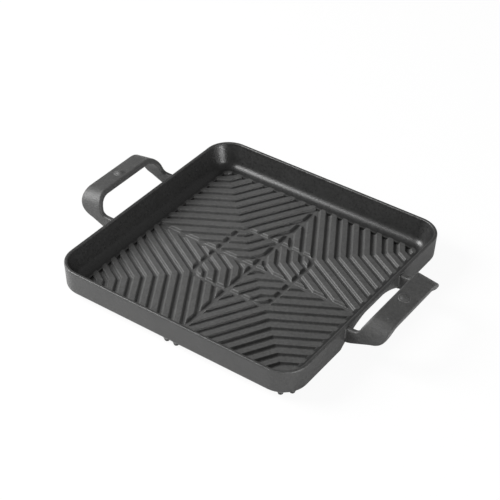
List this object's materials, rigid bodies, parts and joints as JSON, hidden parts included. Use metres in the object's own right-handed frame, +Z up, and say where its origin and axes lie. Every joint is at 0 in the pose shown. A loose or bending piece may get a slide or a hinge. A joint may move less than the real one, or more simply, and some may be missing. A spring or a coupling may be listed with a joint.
{
  "type": "square grill pan",
  "caption": "Square cast-iron grill pan with a star pattern of ridges, a low coved rim, two upright strap handles with thumb bosses and small foot nubs.",
  "frame": {"origin": "under the middle of the pan, on the plane of the foot tips", "axes": "+X towards the right handle, +Y towards the back wall, +Z up"},
  "size_m": [0.3396, 0.2598, 0.0485],
  "materials": {
    "iron_tray": "matt sand-cast grain",
    "iron_ridges": "matt sand-cast grain, satin on the ridge tops",
    "iron_handles": "matt sand-cast grain"
  },
  "bodies": {
    "root": {"pan_tray": "iron_tray", "ridges_back_right": "iron_ridges", "ridges_back_left": "iron_ridges", "ridges_front_right": "iron_ridges", "ridges_front_left": "iron_ridges", "handle_right": "iron_handles", "handle_left": "iron_handles", "boss_right": "iron_handles", "boss_left": "iron_handles", "feet_back_right": "iron_tray", "feet_back_left": "iron_tray", "feet_front_right": "iron_tray", "feet_front_left": "iron_tray", "feet_back_middle": "iron_tray", "feet_front_middle": "iron_tray"}
  },
  "joints": []
}
